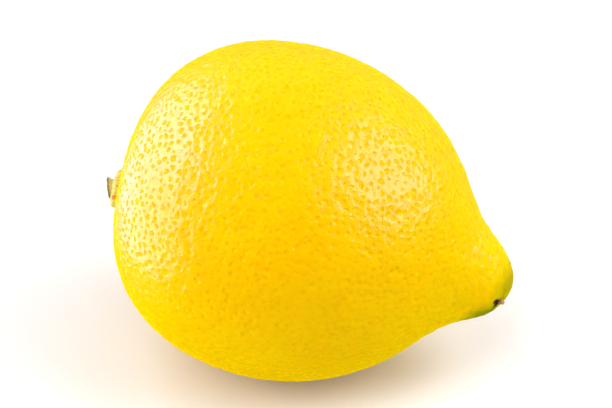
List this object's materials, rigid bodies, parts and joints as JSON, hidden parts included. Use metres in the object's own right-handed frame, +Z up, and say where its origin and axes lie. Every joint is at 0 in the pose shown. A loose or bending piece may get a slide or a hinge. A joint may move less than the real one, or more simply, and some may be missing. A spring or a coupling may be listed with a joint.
{
  "type": "lemon",
  "caption": "Whole ripe lemon lying on its side, with a blunt stem end, lobed calyx and cut stem stub, and a short nipple with its dry style scar.",
  "frame": {"origin": "middle of the small flat spot that the fruit rests on", "axes": "+Z up, +X level along the fruit from its stem end to its nipple, +Y across it"},
  "size_m": [0.0753, 0.062, 0.062],
  "materials": {
    "peel": "waxy citrus peel, finely pitted, semi-gloss",
    "calyx_green": "dry, matte, olive to brown",
    "stem_wood": "cut green wood, matte",
    "dry_style": "dry, matte, dark brown"
  },
  "bodies": {
    "root": {"fruit": "peel", "calyx": "calyx_green", "stem_stub": "stem_wood", "style_remnant": "dry_style"}
  },
  "joints": []
}
